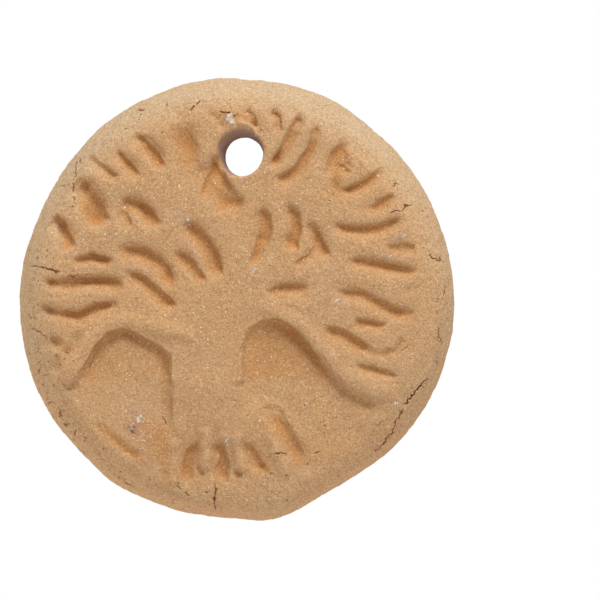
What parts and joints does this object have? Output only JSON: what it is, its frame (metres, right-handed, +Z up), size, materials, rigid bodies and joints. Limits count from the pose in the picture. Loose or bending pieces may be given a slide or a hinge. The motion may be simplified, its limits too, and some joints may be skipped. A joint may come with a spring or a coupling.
{
  "type": "clay tree of life pendant",
  "caption": "Round hand-pressed pendant disc of unglazed tan clay with a stamped tree of life on its face and a hanging hole near the top.",
  "frame": {"origin": "on the axis of the hanging hole, half way between the back and the face", "axes": "+X to the viewer's right, +Z up along the tree as it hangs, the stamped face looks along -Y and the flat back along +Y"},
  "size_m": [0.0401, 0.0058, 0.0408],
  "materials": {
    "fired_clay": "unglazed, dry, finely granular",
    "pale_mineral": "matt, crystalline",
    "dark_mineral": "matt"
  },
  "bodies": {
    "root": {"clay_disc": "fired_clay", "trunk": "fired_clay", "left_bough": "fired_clay", "right_bough": "fired_clay", "left_branches": "fired_clay", "crown_branches": "fired_clay", "right_branches": "fired_clay", "roots": "fired_clay", "pale_grains": "pale_mineral", "dark_grains": "dark_mineral"}
  },
  "joints": []
}
